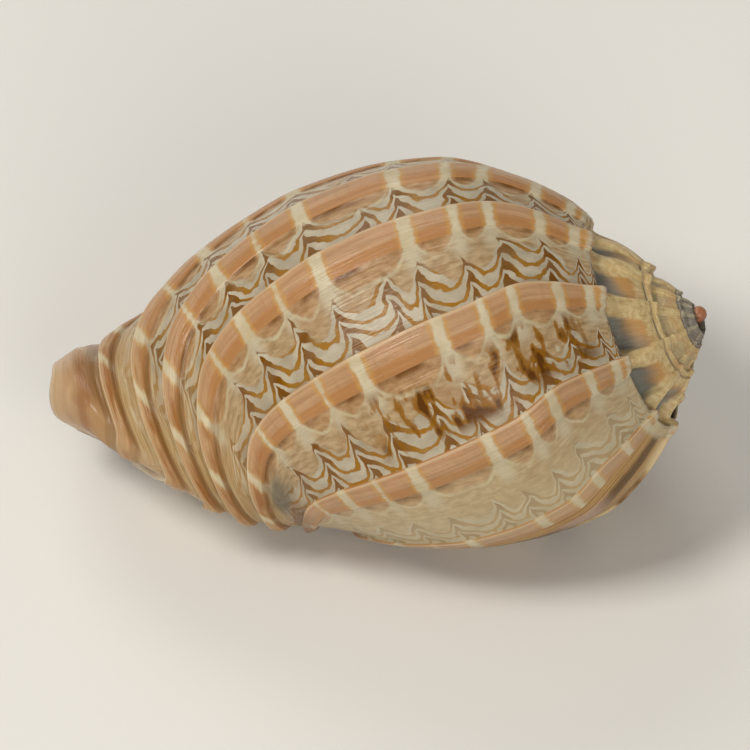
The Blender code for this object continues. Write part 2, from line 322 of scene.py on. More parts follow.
def coil_point(angle, radius, axial):
    """Point at a lip-sized radius and axial distance, shrunk to the size at this angle."""
    size = np.exp(GROWTH * np.radians(angle)) * MM
    turn = np.radians(angle)
    x = size * radius * np.cos(turn)
    y = size * radius * np.sin(turn)
    return np.stack([x, y, size * axial], axis=-1)


def smooth_step(low, high, value):
    """0 below low, 1 above high and an even curve between."""
    f = np.clip((value - low) / (high - low), 0, 1)
    return f * f * (3 - 2 * f)


def growth_lines():
    """Growth angles of one turn, close together on the ribs and even between them."""
    angles = []
    for lead, previous in zip(RIB_LEADS, (RIB_LEADS[-1] - 360,) + RIB_LEADS[:-1]):
        offsets = [offset for offset, _ in RIB_SECTION if lead != 0 or offset >= 0]
        foot = lead - RIB_SECTION[-1][0]
        start = previous - (RIB_SECTION[0][0] if lead != RIB_LEADS[0] else 0)
        count = max(2, round((foot - start) / GAP_STEP))
        angles += [start + (foot - start) * k / count for k in range(1, count)]
        angles += [lead - offset for offset in reversed(offsets)]
    return np.array(angles)


def body_rows():
    """Rows from the suture to the siphon's edge, evenly spaced in millimetres."""
    samples = (LAST_ROW - SUTURE_ROW) * SAMPLES_PER_ROW + 1
    fine = np.linspace(SUTURE_ROW, LAST_ROW, samples)
    length = arc_length_at(fine)
    count = round((length[-1] - length[0]) / BODY_STEP_MM)
    return np.interp(np.linspace(length[0], length[-1], count + 1), length, fine)


def rib_height(angle, is_last_turn):
    """Height of the ribs at a growth angle, 1 along each leading edge."""
    turn_angle = angle if angle > -360 or is_last_turn else math.fmod(angle, 360)
    behind, share = np.array(RIB_SECTION).T
    height = 0.0
    for lead in RIB_LEADS:
        if lead == 0 and not is_last_turn:
            continue
        height = max(height, float(np.interp(lead - turn_angle, behind, share, 0, 0)))
    return height


def ridge_height(angle, rows):
    """Height of the wavy ridges across the ramp, 1 along each crest line."""
    turn_angle = np.where(angle > -360, angle, np.fmod(angle, 360))
    height = np.zeros(np.broadcast(angle, rows).shape)
    past_the_ends = (RIB_LEADS[0] + 360, RIB_LEADS[-2] - 360)
    for lead in RIB_LEADS + past_the_ends:
        bend = RIDGE_BEND * np.sin(rows * RIDGE_WAVE + lead * RIDGE_WAVE_SHIFT)
        away = abs(turn_angle - (lead - RIDGE_CENTRE) - bend) / RIDGE_HALF_WIDTH
        height = np.maximum(height, np.clip(1 - away ** 2, 0, 1) ** RIDGE_ROUNDING)
    return height


def pit_share(angle, rows):
    """Share of their full depth that the pits of the ramp have."""
    start, full, shallower, end = PIT_ROWS
    share = smooth_step(start, full, rows) * (1 - smooth_step(shallower, end, rows))
    share = share * (OLD_PIT_SHARE + (1 - OLD_PIT_SHARE) * smooth_step(*OLD_PIT_ANGLES, angle))
    return share * (1 - (1 - LIP_PIT_SHARE) * smooth_step(*LIP_PIT_ANGLES, angle))


def neck_lean(angle, rows):
    """Distance in metres that the neck leans out, most at its tip."""
    lean = SIPHON_LEAN * MM * smooth_step(SIPHON_LEAN_FROM, 0, angle)
    lean = lean * smooth_step(NECK_ROW, SIPHON_ROW, rows)
    flare = TIP_FLARE * MM * smooth_step(TIP_FLARE_FROM, 0, angle)
    return lean + flare * smooth_step(TIP_FLARE_ROW, TIP_FLARE_ROW + TIP_FLARE_ROWS, rows)


def outer_line(angle, rows, is_last_turn):
    """Points of one growth line of the outer surface, with its rib, spine and glaze."""
    radius, axial, lag, out_r, out_z = profile_at(rows)
    forward = np.interp(angle, [-360, FLARE_FADE - 360, FLARE_FROM, 0], [1, 0, 0, 1])
    lag = lag + forward * FLARE_ANGLE * smooth_step(FLARE_START_ROW, SIPHON_ROW, rows)
    widening = FLARE_WIDENING * smooth_step(FLARE_FROM, FLARE_WIDENS_TO, angle)
    radius = radius + widening * smooth_step(FLARE_START_ROW, SIPHON_ROW - 1, rows)
    rib = rib_height(angle, is_last_turn)
    full = smooth_step(CREST_ROW, FULL_RIB_ROW, rows)
    height = RAMP_RIB_HEIGHT + (RIB_HEIGHT - RAMP_RIB_HEIGHT) * full
    neck = smooth_step(NECK_RIB_FROM_ROW, NECK_RIB_FULL_ROW, rows)
    height = height + (NECK_RIB_HEIGHT - RIB_HEIGHT) * neck
    height = height * (1 - smooth_step(SIPHON_ROW, LAST_ROW, rows))
    glaze = 0.0
    if is_last_turn:
        covered = 1 - smooth_step(GLAZE_FULL, GLAZE_EDGE, angle)
        glaze = covered * smooth_step(GLAZE_TOP_ROW, GLAZE_TOP_ROW + GLAZE_FADE_ROWS, rows)
    lift = height * rib * (1 - glaze) + GLAZE_THICKNESS * glaze
    late = smooth_step(LATE_FROM, LATE_FULL, angle)
    near_crest = np.clip(1 - abs(rows - CREST_ROW) / SPINE_HALF_ROWS, 0, 1)
    spine = SPINE_REACH * (1 - late) * rib ** 2 * near_crest - CREST_DROP * late * near_crest
    ridge = ridge_height(angle, rows)
    lift = lift + (RIDGE_HEIGHT * ridge - PIT_DEPTH * (1 - ridge)) * pit_share(angle, rows)
    near_shoulder = np.clip(1 - ((rows - SHOULDER_KNOB_ROW) / SHOULDER_KNOB_ROWS) ** 2, 0, 1)
    lift = lift + SHOULDER_KNOB_HEIGHT * rib ** 2 * near_shoulder * (1 - glaze)
    relief = smooth_step(RELIEF_FROM, RELIEF_TO, angle)
    plain = np.clip(rows / SUTURE_ROW, 0, 1)
    start, end = PROFILE[0], PROFILE[SUTURE_ROW]
    radius = radius + lift * out_r + spine * SPINE_DIRECTION[0]
    axial = axial + lift * out_z + spine * SPINE_DIRECTION[1]
    if relief < 1:
        radius = relief * radius + (1 - relief) * (start[0] + (end[0] - start[0]) * plain)
        axial = relief * axial + (1 - relief) * (start[1] + (end[1] - start[1]) * plain)
    points = coil_point(angle + lag, radius, axial)
    young = (1 - smooth_step(KNOB_FROM, KNOB_TO, angle)) * MM
    points = points + young * (np.array([0, 0, KNOB_SINK]) + APEX_LEAN)
    facing = math.radians(SIPHON_LEAN_FACING)
    return points + neck_lean(angle, rows)[:, None] * np.array([math.cos(facing), math.sin(facing), 0])


def stitch(mesh, first, second):
    """Triangles between two lines of (place, vertex) pairs, matched by their places."""
    i = 0
    k = 0
    faces = []
    while i < len(first) - 1 or k < len(second) - 1:
        next_first = first[i + 1][0] if i < len(first) - 1 else math.inf
        next_second = second[k + 1][0] if k < len(second) - 1 else math.inf
        if next_first <= next_second:
            corners = (first[i][1], first[i + 1][1], second[k][1])
            i += 1
        else:
            corners = (first[i][1], second[k + 1][1], second[k][1])
            k += 1
        if len(set(corners)) == 3:
            faces.append(mesh.faces.new(corners))
    return faces


def outer_body():
    """Closed body of the whole shell with its mouth still filled, and its growth data."""
    mesh = bmesh.new()
    growth = mesh.verts.layers.float_vector.new("growth")
    one_turn = growth_lines()
    per_turn = len(one_turn)
    angles = np.concatenate([one_turn - 360 * turn for turn in range(OLDER_TURNS, -1, -1)])
    ramp_rows = np.linspace(0, SUTURE_ROW, RAMP_STEPS + 1)
    full_rows = np.concatenate([ramp_rows, body_rows()[1:]])
    first_full = len(angles) - per_turn - 1
    lines = []
    for index, angle in enumerate(angles):
        is_last_turn = index >= first_full
        rows = full_rows if is_last_turn else ramp_rows
        points = outer_line(angle, rows, is_last_turn)
        line = []
        for k, point in enumerate(points):
            if k == 0 and index >= per_turn:
                line.append(lines[index - per_turn][RAMP_STEPS])
                continue
            vertex = mesh.verts.new(point)
            vertex[growth] = (angle, rows[k], 0)
            line.append(vertex)
        lines.append(line)
    for older, newer in zip(lines[:-1], lines[1:]):
        for k in range(min(len(older), len(newer)) - 1):
            mesh.faces.new((older[k], older[k + 1], newer[k + 1], newer[k]))

    # The underside is closed by a fan along the axis, and the mouth by triangles from the
    # lip to the growth line of one turn before.
    closing = []
    axis_points = []
    for line in lines[first_full:]:
        shrink = 1 - UNDERSIDE_DEPTH / PROFILE[-1][1]
        axis_points.append(mesh.verts.new((0, 0, line[-1].co.z * shrink)))
    edge = [line[-1] for line in lines[first_full:]]
    for k in range(len(edge) - 1):
        closing.append(mesh.faces.new((edge[k], axis_points[k], axis_points[k + 1], edge[k + 1])))
    inner_line = lines[first_full][RAMP_STEPS:]
    lip_rows = (0, SUTURE_ROW, NECK_ROW, LAST_ROW)
    facing_rows = (SUTURE_ROW, LIP_FACES_ROW, NECK_ROW, LAST_ROW)
    places = np.interp(full_rows, lip_rows, facing_rows)
    second = list(zip(full_rows[RAMP_STEPS:], inner_line))
    closing += stitch(mesh, list(zip(places, lines[-1])), second)
    for here, after in zip(axis_points[:-1], axis_points[1:]):
        closing.append(mesh.faces.new((here, after, lines[-1][-1])))
    closing.append(mesh.faces.new((axis_points[0], inner_line[-1], lines[-1][-1])))
    for face in closing:
        face.material_index = CALLUS_PLACE

    # The oldest turn is closed at the tip.
    tip = mesh.verts.new((np.array([0, 0, TIP_AXIAL + KNOB_SINK]) + APEX_LEAN) * MM)
    tip[growth] = (-360 * (OLDER_TURNS + 1), 0, 0)
    rim = [line[0] for line in lines[:per_turn]] + [lines[0][RAMP_STEPS]]
    rim += [lines[0][k] for k in range(RAMP_STEPS - 1, 0, -1)]
    for here, after in zip(rim, rim[1:] + rim[:1]):
        mesh.faces.new((here, after, tip))
    return mesh


def tube(sections):
    """Closed body through a list of equal rings of points, with flat ends."""
    mesh = bmesh.new()
    rings = [[mesh.verts.new(point) for point in ring] for ring in sections]
    for ring, following in zip(rings[:-1], rings[1:]):
        for k in range(len(ring)):
            after = (k + 1) % len(ring)
            mesh.faces.new((ring[k], ring[after], following[after], following[k]))
    mesh.faces.new(rings[0])
    mesh.faces.new(rings[-1])
    return mesh


def hollow_body():
    """Horn that the animal lived in, from inside the second whorl out past the lip."""
    radius, axial, _, out_r, out_z = profile_at(np.array(HOLLOW_OUTER_ROWS, float))
    outer = np.stack([radius - WALL * out_r, axial - WALL * out_z], axis=1)
    loop = np.concatenate([outer, np.array(HOLLOW_INNER, float)])
    sections = []
    for angle in range(HOLLOW_START, HOLLOW_END + 1, HOLLOW_STEP):
        sections.append(coil_point(np.full(len(loop), float(angle)), loop[:, 0], loop[:, 1]))
    return tube(sections)


def pillar_body():
    """Columella, an oval pillar that narrows towards the siphon."""
    facing = math.radians(PILLAR_FACING)
    lean_facing = math.radians(PILLAR_LEAN_FACING)
    sections = []
    for axial, wide, deep in PILLAR:
        around = np.linspace(0, 2 * math.pi, PILLAR_SIDES, endpoint=False)
        across = wide * np.sin(around)
        out = deep * np.cos(around)
        along = (axial - PILLAR_LEAN_START) / (PILLAR[-1][0] - PILLAR_LEAN_START)
        lean = PILLAR_LEAN * max(0, along) ** 2
        x = out * math.cos(facing) - across * math.sin(facing) + lean * math.cos(lean_facing)
        y = out * math.sin(facing) + across * math.cos(facing) + lean * math.sin(lean_facing)
        sections.append(np.stack([x, y, np.full(len(around), axial)], axis=1) * MM)
    return tube(sections)


def knob_body():
    """Small rounded knob at the apex, the first whorl."""
    mesh = bmesh.new()
    centre = Matrix.Translation((np.array([0, 0, KNOB_RADIUS]) + APEX_LEAN) * MM)
    bmesh.ops.create_uvsphere(
        mesh, u_segments=KNOB_SEGMENTS, v_segments=KNOB_RINGS, radius=KNOB_RADIUS * MM, matrix=centre
    )
    return mesh


def make_object(name, mesh, materials):
    """Object of a bmesh with its faces turned out."""
    bmesh.ops.recalc_face_normals(mesh, faces=mesh.faces)
    if mesh.calc_volume(signed=True) < 0:
        bmesh.ops.reverse_faces(mesh, faces=mesh.faces)
    data = bpy.data.meshes.new(name)
    mesh.to_mesh(data)
    mesh.free()
    made = bpy.data.objects.new(name, data)
    bpy.context.scene.collection.objects.link(made)
    for material in materials:
        data.materials.append(material)
    return made


def rest_rotation():
    """Rotation that lays the coil on its aperture side with the spire towards +X."""
    facing = math.radians(REST_FACING)
    lift = math.radians(REST_LIFT)
    level = Vector((math.cos(facing), math.sin(facing), 0))
    up = -(level * math.cos(lift) + Vector((0, 0, 1)) * math.sin(lift))
    spire = Vector((0, 0, -1))
    forward = (spire - up * spire.dot(up)).normalized()
    return Matrix((forward, up.cross(forward), up))


def placement(mesh, low, high):
    """Matrix that turns a body to its rest and moves it into the solid's box."""
    turn = rest_rotation()
    points = np.array([turn @ vertex.co for vertex in mesh.verts])
    least, most = points.min(axis=0), points.max(axis=0)
    centre = (np.array(low) + np.array(high)) / 2 - (least + most) / 2
    move = Vector((centre[0], centre[1], high[2] - most[2]))
    return Matrix.Translation(move) @ turn.to_4x4()


def combine(target, other, operation):
    """Boolean modifier of the target with another object, whose material comes along."""
    modifier = target.modifiers.new(other.name, "BOOLEAN")
    modifier.operation = operation
    modifier.solver = "EXACT"
    modifier.material_mode = "TRANSFER"
    modifier.object = other


def apply_modifiers(target, helpers):
    """Apply the target's modifiers and remove the helper objects."""
    graph = bpy.context.evaluated_depsgraph_get()
    data = bpy.data.meshes.new_from_object(target.evaluated_get(graph))
    target.modifiers.clear()
    target.data = data
    for helper in helpers:
        bpy.data.objects.remove(helper, do_unlink=True)


def rib_place(angle):
    """Degrees behind the rib in front, whether on a rib, share of the space, and its size."""
    turn_angle = np.where(angle > -360, angle, np.fmod(angle, 360))
    leads = np.array(RIB_LEADS, float)
    older = np.concatenate([[leads[-1] - 360], leads[:-1]])
    front = np.clip(np.searchsorted(leads, turn_angle - 1e-4), 0, len(leads) - 1)
    behind = leads[front] - turn_angle
    space = leads[front] - older[front] - RIB_WIDTH
    up = (turn_angle - older[front]) / space
    up = np.where(behind < RIB_WIDTH, behind / RIB_WIDTH, up)
    back = 1 - smooth_step(*RIB_BACK_EDGE, behind)
    face = 1 - smooth_step(*RIB_FRONT_EDGE, turn_angle - older[front])
    on_rib = np.where(behind < RIB_BACK_SIDE, back, face)
    return behind, on_rib, up, space


def add_vectors(data, name, values):
    """Vector attribute on the vertices."""
    layer = data.attributes.new(name, "FLOAT_VECTOR", "POINT")
    layer.data.foreach_set("vector", np.ascontiguousarray(values, np.float32).ravel())


def add_growth_fields(data):
    """Numbers that the finish is drawn from, on each vertex of the outer surface."""
    count = len(data.vertices)
    growth = np.zeros(count * 3, np.float32)
    data.attributes["growth"].data.foreach_get("vector", growth)
    angle, row, spare = growth.reshape(-1, 3).T.astype(float)
    length = arc_length_at(row)
    widest = PROFILE[:, 0].max()
    along = widest / GROWTH * np.exp(GROWTH * np.radians(angle))
    behind, on_rib, up, space = rib_place(angle)
    peaks = np.interp(row, PEAK_ROWS, np.arange(len(PEAK_ROWS)))
    peaks += (row - PEAK_ROWS[-1]).clip(0) * NECK_PEAKS_PER_ROW - (PEAK_ROWS[0] - row).clip(0)
    centres = arc_length_at(PEAK_ROWS)
    inside = np.full(count, FAR_MM)
    for centre, half in zip(centres, GAP_HALF_WIDTHS):
        if half > 0:
            inside = np.minimum(inside, abs(length - centre) - half)
    add_vectors(data, "growth_mm", np.stack([length, along, angle], 1))
    add_vectors(data, "rib", np.stack([behind, on_rib, up], 1))
    add_vectors(data, "marks", np.stack([peaks, inside, space], 1))
    ridge = ridge_height(angle, row)
    add_vectors(data, "place", np.stack([row, ridge, spare], 1))


class Number:
    """A number in a material, whose arithmetic adds nodes to the tree."""

    def __init__(self, tree, socket):
        self.tree = tree
        self.socket = socket

    def math(self, operation, *others):
        node = self.tree.nodes.new("ShaderNodeMath")
        node.operation = operation
        for socket, value in zip(node.inputs, (self,) + others):
            set_input(self.tree, socket, value)
        return Number(self.tree, node.outputs[0])

    def __add__(self, other):
        return self.math("ADD", other)

    def __sub__(self, other):
        return self.math("SUBTRACT", other)

    def __rsub__(self, other):
        return (self * -1) + other

    def __mul__(self, other):
        return self.math("MULTIPLY", other)

    def __truediv__(self, other):
        return self.math("DIVIDE", other)

    __radd__ = __add__
    __rmul__ = __mul__

    def above(self, low, high):
        """0 below low, 1 above high and a smooth step between."""
        node = self.tree.nodes.new("ShaderNodeMapRange")
        node.interpolation_type = "SMOOTHSTEP"
        set_input(self.tree, node.inputs["Value"], self)
        set_input(self.tree, node.inputs["From Min"], low)
        set_input(self.tree, node.inputs["From Max"], high)
        return Number(self.tree, node.outputs["Result"])

    def below(self, low, high):
        """1 below low, 0 above high and a smooth step between."""
        return 1 - self.above(low, high)


def set_input(tree, socket, value):
    """Link a Number or a socket to an input, or set the input's own value."""
    if isinstance(value, Number):
        tree.links.new(value.socket, socket)
    elif isinstance(value, bpy.types.NodeSocket):
        tree.links.new(value, socket)
    else:
        socket.default_value = value


def attribute(tree, name):
    """The three numbers of a vector attribute."""
    node = tree.nodes.new("ShaderNodeAttribute")
    node.attribute_name = name
    parts = tree.nodes.new("ShaderNodeSeparateXYZ")
    tree.links.new(node.outputs["Vector"], parts.inputs[0])
    return [Number(tree, socket) for socket in parts.outputs]


def object_place(tree):
    """The three coordinates of a point in metres."""
    place = tree.nodes.new("ShaderNodeTexCoord")
    parts = tree.nodes.new("ShaderNodeSeparateXYZ")
    tree.links.new(place.outputs["Object"], parts.inputs[0])
    return [Number(tree, socket) for socket in parts.outputs]


def noise(tree, x, y, detail=2.0, z=0.0):
    """Smooth noise from about -1 to 1 over two coordinates; another z is another pattern."""
    place = tree.nodes.new("ShaderNodeCombineXYZ")
    for socket, value in zip(place.inputs, (x, y, z)):
        set_input(tree, socket, value)
    node = tree.nodes.new("ShaderNodeTexNoise")
    node.inputs["Scale"].default_value = 1
    node.inputs["Detail"].default_value = detail
    tree.links.new(place.outputs[0], node.inputs["Vector"])
    return (Number(tree, node.outputs["Fac"]) - 0.5) * 2


def srgb(red, green, blue):
    """Colour from its display values of 0 to 255."""
    def linear(value):
        value = value / 255
        return value / 12.92 if value <= 0.04045 else ((value + 0.055) / 1.055) ** 2.4
    return (linear(red), linear(green), linear(blue), 1)


def mix(tree, factor, first, second):
    """Colour between two: the first at a factor of 0, the second at 1."""
    node = tree.nodes.new("ShaderNodeMix")
    node.data_type = "RGBA"
    set_input(tree, node.inputs["Factor"], factor)
    set_input(tree, node.inputs[MIX_FIRST], first)
    set_input(tree, node.inputs[MIX_SECOND], second)
    return node.outputs[MIX_RESULT]


def new_material(name, roughness):
    """New material of a roughness, with its tree and its shader."""
    material = bpy.data.materials.new(name)
    material.use_nodes = True
    shader = material.node_tree.nodes["Principled BSDF"]
    shader.inputs["Roughness"].default_value = roughness
    return material, material.node_tree, shader


def bump(tree, shader, height, distance):
    """Bump as high as the height times the distance in metres."""
    node = tree.nodes.new("ShaderNodeBump")
    node.inputs["Strength"].default_value = 1
    node.inputs["Distance"].default_value = distance
    set_input(tree, node.inputs["Height"], height)
    tree.links.new(node.outputs["Normal"], shader.inputs["Normal"])


def stripe(value, low, high, soft):
    """1 from low to high, fading to 0 over a soft margin on both sides."""
    return value.above(low - soft, low + soft) * value.below(high - soft, high + soft)


def zigzags(tree, fields, noises):
    """Share of gold line and of the banded part between two ribs, and of a line's peaks.

    The lines have sharp peaks towards growth and rounded loops between.
    """
    length, along, _, peaks, up, space = fields
    broad, fine, patchy = noises

    # The phase counts the peaks along a line, and the turn is half a circle between two.
    phase = peaks + noise(tree, peaks * 0.9, along * 0.2, 2, 7.0) * 0.35
    fraction = phase.math("FRACT")
    turn = fraction.math("POWER", ZIGZAG_SHARPNESS) * math.pi
    peak = 1 - turn.math("SINE")
    reach = ZIGZAG_REACH + noise(tree, phase.math("FLOOR") * 3.7, along * 0.1, 1, 3.0) * 5.0

    # Lines are as thick on their steep sides as on their loops, and thicker at the peaks.
    slope = turn.math("COSINE") * reach * 0.5
    steep = (slope * slope + 1).math("SQRT").math("MINIMUM", ZIGZAG_STEEPEST)
    height = up * space + (1 - peak) * reach + fine * 0.8 + broad * 2.4 - ZIGZAG_START
    step = height / ZIGZAG_STEP
    below_line = 1 - step.math("FRACT")
    thickness = peak.math("POWER", PEAK_NARROWNESS) * PEAK_SHARE
    thickness = thickness + (patchy * 0.08 + LINE_SHARE) * steep
    line = below_line.below(thickness - 0.045, thickness + 0.045)
    count = ZIGZAG_COUNT + noise(tree, length * 0.12, along * 0.08, 1, 11.0) * 1.8
    banded = step.below(count - 0.12, count + 0.12)
    return line * banded, banded, peak


def between_ribs(tree, fields, noises, behind, inside):
    """Colour of the space between two ribs."""
    length, along, angle, peaks, *_ = fields
    broad, fine, patchy = noises
    line, banded, peak = zigzags(tree, fields, noises)
    grain = noise(tree, length * 0.5 + along * 0.35, along * 1.3 - length * 0.2, 4)
    white = mix(tree, patchy.above(-0.5, 0.5), srgb(160, 147, 124), srgb(186, 175, 153))
    beige = mix(tree, grain.above(-0.4, 0.4), srgb(150, 123, 86), srgb(181, 156, 119))
    beige = mix(tree, (broad + patchy * 0.5).above(0.0, 0.5) * 0.6, beige, srgb(156, 121, 86))
    gold = mix(tree, peak.above(0.15, 0.8), srgb(150, 102, 4), srgb(114, 70, 0))
    colour = mix(tree, banded, beige, white)
    column = inside.below(-0.6, 1.5) * (behind - RIB_WIDTH).below(5.0, 12.0)
    colour = mix(tree, column * 0.7, colour, srgb(192, 182, 156))
    colour = mix(tree, line * (0.92 + patchy * 0.25).math("MINIMUM", 1.0), colour, gold)

    # In one space the lines run together into brown streaks.
    window = stripe(angle, *STREAK_ANGLES, 3) * stripe(peaks, *STREAK_PEAKS, 0.6)
    streaks = noise(tree, length * 0.34, along * 0.14, 2, 21.0) + fine * 0.12 + 0.1
    colour = mix(tree, window * streaks.above(0.1, 0.18) * 0.9, colour, srgb(136, 88, 4))
    colour = mix(tree, window * streaks.above(0.2, 0.36) * 0.95, colour, srgb(84, 46, 0))
    colour = mix(tree, window * streaks.below(-0.3, -0.18), colour, srgb(190, 180, 156))

    # Rounded tan tongues hang behind the blocks of each rib; under the rib's trailing edge they darken
    # to a brown that is partly the blocks' own colour and partly painted shadow.
    below_rib = behind - RIB_WIDTH
    across = (inside.math("MAXIMUM", 0.0) / TONGUE_HALF_WIDTH).math("MINIMUM", 1.0)
    depth = across.math("SQRT") * TONGUE_DEPTH
    edge = below_rib - depth * (1 + broad * 0.8) + fine * 0.8
    tongue = edge.below(-1.2, 0.4)
    rim = stripe(edge, 0.0, 1.4, 0.5) * patchy.above(-0.5, 0.4)
    # Painted shadow under the rib's trailing edge, mixed with the blocks' brown.
    shade = below_rib.below(0.6, 3.4) * (patchy + broad).above(-0.35, 0.35) * inside.above(0.1, 1.0)
    tan = mix(tree, grain.above(-0.4, 0.4), srgb(154, 116, 76), srgb(182, 146, 106))
    colour = mix(tree, rim * 0.75, colour, srgb(196, 184, 152))
    colour = mix(tree, tongue * 0.9, colour, tan)
    return mix(tree, shade * 0.9, colour, srgb(104, 62, 10))


def rib_bands(tree, fields, noises, behind, inside):
    """Colour of the ribs: tan blocks, redder behind, parted by cream streaks, with a painted highlight
    along the leading edge.
    """
    length, along, *_ = fields
    broad, fine, patchy = noises
    threads = noise(tree, length * 0.07, along * 1.6, 3)
    spiral = noise(tree, length * 1.1, along * 0.12, 2, 9.0)
    block = mix(tree, threads.above(-0.5, 0.5), srgb(166, 127, 92), srgb(188, 151, 113))
    block = mix(tree, spiral.above(-0.1, 0.6) * 0.35, block, srgb(160, 114, 72))
    block = mix(tree, (patchy + broad).above(-0.2, 0.6) * 0.3, block, srgb(198, 144, 104))
    step = (behind + broad * 1.2).above(5.6, 7.0)
    block = mix(tree, step * 0.7, block, srgb(168, 114, 60))
    margin = inside + fine * 0.55 + patchy * 0.5
    halo = stripe(margin, -0.1, 0.6, 0.3)
    colour = mix(tree, halo * 0.6, block, srgb(188, 144, 78))
    cream = mix(tree, patchy.above(-0.5, 0.5), srgb(186, 170, 136), srgb(204, 192, 164))
    colour = mix(tree, margin.below(-0.35, 0.3), colour, cream)
    # Painted highlight: lighter cream along the rib's leading edge.
    front = behind.below(0.5, 1.3)
    return mix(tree, front * 0.5, colour, srgb(210, 186, 152))


def ramp_and_spire(tree, colour, fields, noises, row, ridge):
    """Colours of the ramp behind the shoulder and of the older whorls, with painted shade at the deep
    end of the pits.
    """
    length, along, angle, *_ = fields
    _, fine, patchy = noises
    grain = noise(tree, length * 1.1, along * 0.5, 4, 15.0)
    wash = noise(tree, length * 0.16, along * 0.1, 1, 16.0)
    last = angle.above(*LAST_TURN_ANGLES)
    grey = (row + wash * 2.0).above(0.6, 2.8)
    hollow = mix(tree, grey, srgb(188, 142, 84), srgb(124, 122, 112))
    hollow = mix(tree, grain.above(0.0, 0.7) * 0.3, hollow, srgb(168, 150, 116))
    # Painted shade in the deep end of the pits, under the shoulder of the last whorl.
    hollow = mix(tree, stripe(row, 4.0, 4.8, 0.4) * last * 0.85, hollow, srgb(66, 60, 52))
    keel = mix(tree, grain.above(-0.4, 0.4), srgb(192, 162, 110), srgb(218, 196, 146))
    keel = mix(tree, (patchy + wash).above(0.0, 0.5) * 0.5, keel, srgb(194, 148, 100))
    seam = (row - ridge * 0.8 + fine * 0.4).below(0.7, 1.3)
    ridged = (ridge + fine * 0.15).above(0.15, 0.6).math("MAXIMUM", seam)
    ridged = ridged.math("MAXIMUM", (1 - last) * 0.65)
    ramp = mix(tree, ridged, hollow, keel)
    colour = mix(tree, row.below(*RAMP_ROWS), colour, ramp)
    side = (row + fine * 0.3).above(3.0, 3.8) * (1 - last)
    colour = mix(tree, side, colour, keel)
    worn = mix(tree, grain.above(-0.3, 0.4), srgb(138, 130, 118), srgb(170, 160, 142))
    knob = mix(tree, fine.above(-0.4, 0.4), srgb(168, 158, 134), srgb(196, 184, 156))
    worn = mix(tree, (ridge + fine * 0.15).above(0.45, 0.85), worn, knob)
    # Darker along the suture of the worn whorls.
    worn = mix(tree, row.below(0.3, 0.8) * 0.35, worn, srgb(104, 94, 86))
    colour = mix(tree, (angle + fine * 60).below(*WORN_ANGLES), colour, worn)
    return mix(tree, (angle + fine * 30).below(*APEX_ANGLES), colour, srgb(138, 102, 80))


def neck_finish(tree, colour, fields, noises, row, on_rib, behind, inside):
    """The neck: tan and cream patches on sharp folds, painted gold shadows between them and a painted
    highlight along each fold's leading edge.
    """
    length, along, angle, *_ = fields
    broad, fine, patchy = noises
    threads = noise(tree, length * 0.07, along * 2.4, 4, 30.0)
    patch = noise(tree, length * 0.3, along * 0.25, 2, 33.0)
    groove = mix(tree, threads.above(-0.4, 0.4), srgb(160, 122, 70), srgb(200, 172, 124))
    groove = mix(tree, patch.above(0.0, 0.4) * 0.6, groove, srgb(206, 192, 156))
    # Painted gold shadow just behind each fold's trailing edge.
    painted_trail_shadow = stripe(behind + patchy, RIB_WIDTH - 1.4, RIB_WIDTH + 3.2, 1.2)
    fold = mix(tree, threads.above(-0.4, 0.4), srgb(172, 130, 86), srgb(202, 166, 120))
    brown = stripe(behind + patchy * 2, 3.5, 8.5, 1.0) * patch.above(-0.2, 0.2)
    fold = mix(tree, brown, fold, srgb(152, 96, 44))
    margin = inside + fine * 0.6 + patchy * 0.5
    fold = mix(tree, margin.below(-0.1, 0.6), fold, srgb(212, 198, 162))
    neck = mix(tree, on_rib.above(0.4, 0.6), groove, fold)
    neck = mix(tree, painted_trail_shadow * 0.75, neck, srgb(118, 74, 22))
    # Painted highlight along each fold's leading edge.
    front = (behind + fine * 0.5).below(0.3, 1.3)
    neck = mix(tree, front * 0.8, neck, srgb(228, 206, 172))
    tip = row.above(*TIP_ROWS) + angle.above(*TIP_ANGLES)
    neck = mix(tree, tip.math("MINIMUM", 1.0) * 0.6, neck, srgb(180, 150, 112))
    streak = stripe(angle + patch * 3, -9.0, -6.0, 1.2) * row.above(15.8, 16.2)
    neck = mix(tree, streak * 0.7, neck, srgb(128, 78, 40))
    share = (row + broad * 1.2 + patchy * 0.6).above(*NECK_ROWS) * 0.8
    return mix(tree, share, colour, neck)


